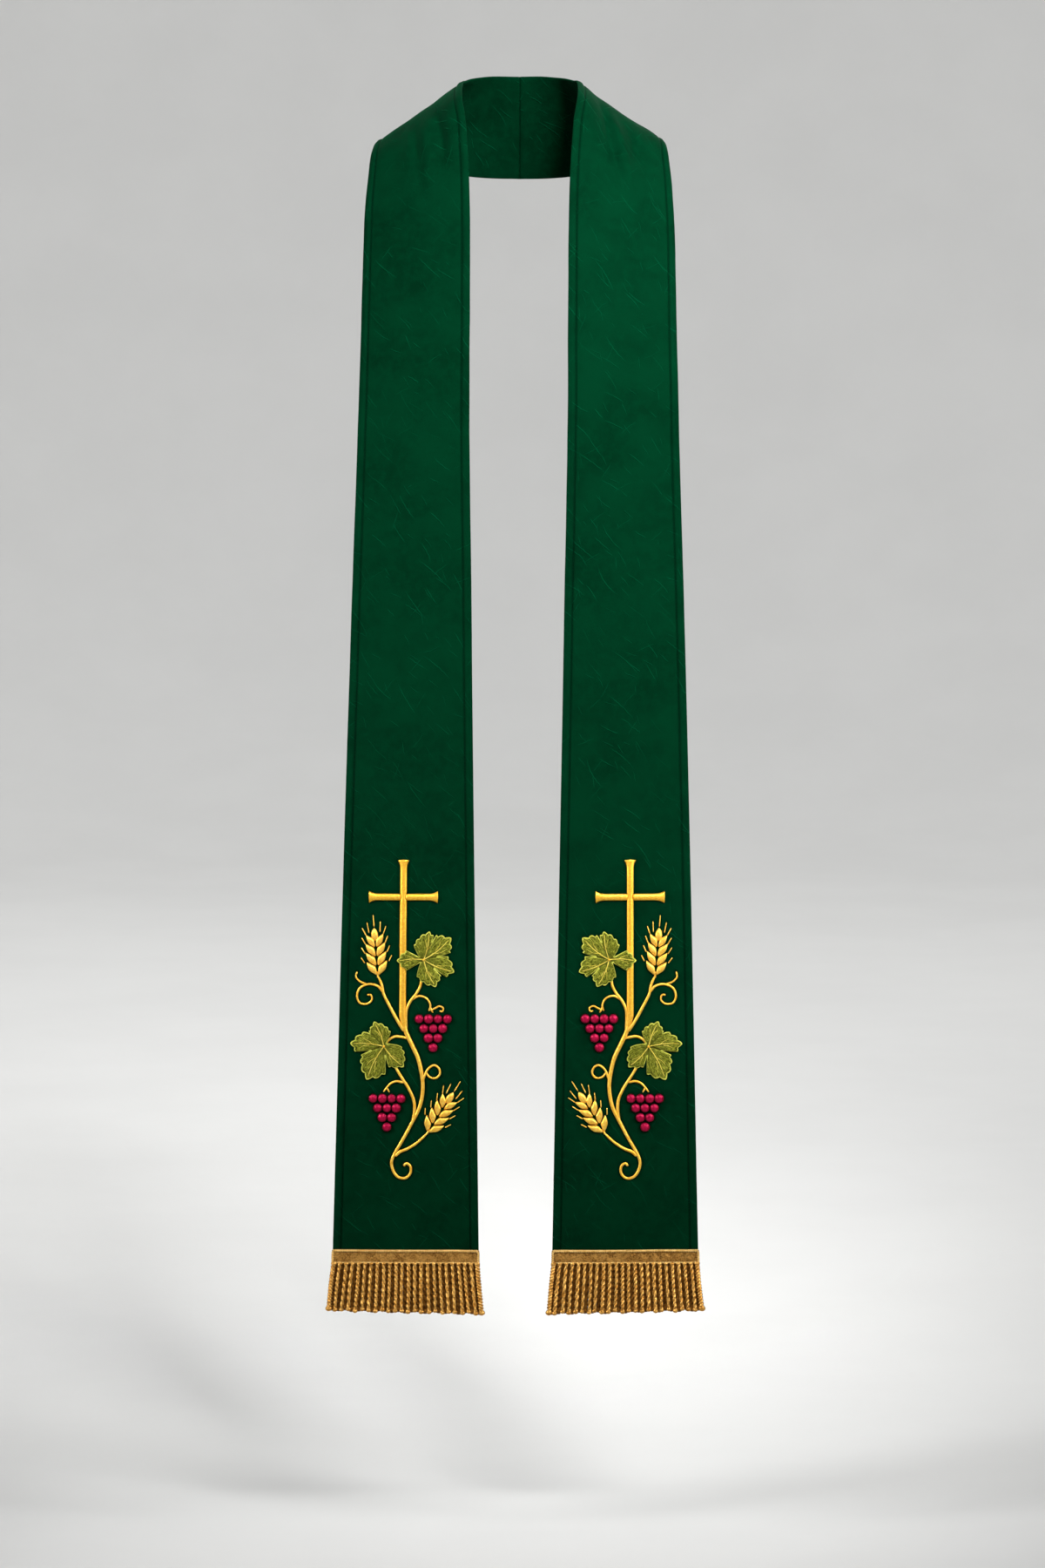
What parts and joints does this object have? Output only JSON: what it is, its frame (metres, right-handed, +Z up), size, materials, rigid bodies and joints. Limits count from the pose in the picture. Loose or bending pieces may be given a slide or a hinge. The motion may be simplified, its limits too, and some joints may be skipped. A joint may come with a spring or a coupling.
{
  "type": "clerical stole",
  "caption": "Green clerical stole, worn: raised gold crosses, vines, wheat, leaves and grapes, and a gold bullion fringe on both hems.",
  "frame": {"origin": "middle of the neck, level with the tops of the shoulders where the stole rests", "axes": "+Z up, -Y to the front, where both embroidered ends hang, +X to the viewer's right from the front"},
  "size_m": [0.3826, 0.2585, 1.2461],
  "materials": {
    "green_cloth": "matt satin weave",
    "gold_bullion": "twisted cord, soft shine",
    "gold_thread": "satin stitch",
    "leaf_thread": "satin stitch",
    "grape_thread": "satin stitch"
  },
  "bodies": {
    "root": {"half_left": "green_cloth", "fringe_left": "gold_bullion", "cross_left": "gold_thread", "vine_left": "gold_thread", "upper_leaf_left": "leaf_thread", "upper_grapes_left": "grape_thread", "upper_wheat_left": "gold_thread", "lower_leaf_left": "leaf_thread", "lower_grapes_left": "grape_thread", "lower_wheat_left": "gold_thread", "half_right": "green_cloth", "fringe_right": "gold_bullion", "cross_right": "gold_thread", "vine_right": "gold_thread", "upper_leaf_right": "leaf_thread", "upper_grapes_right": "grape_thread", "upper_wheat_right": "gold_thread", "lower_leaf_right": "leaf_thread", "lower_grapes_right": "grape_thread", "lower_wheat_right": "gold_thread"}
  },
  "joints": []
}
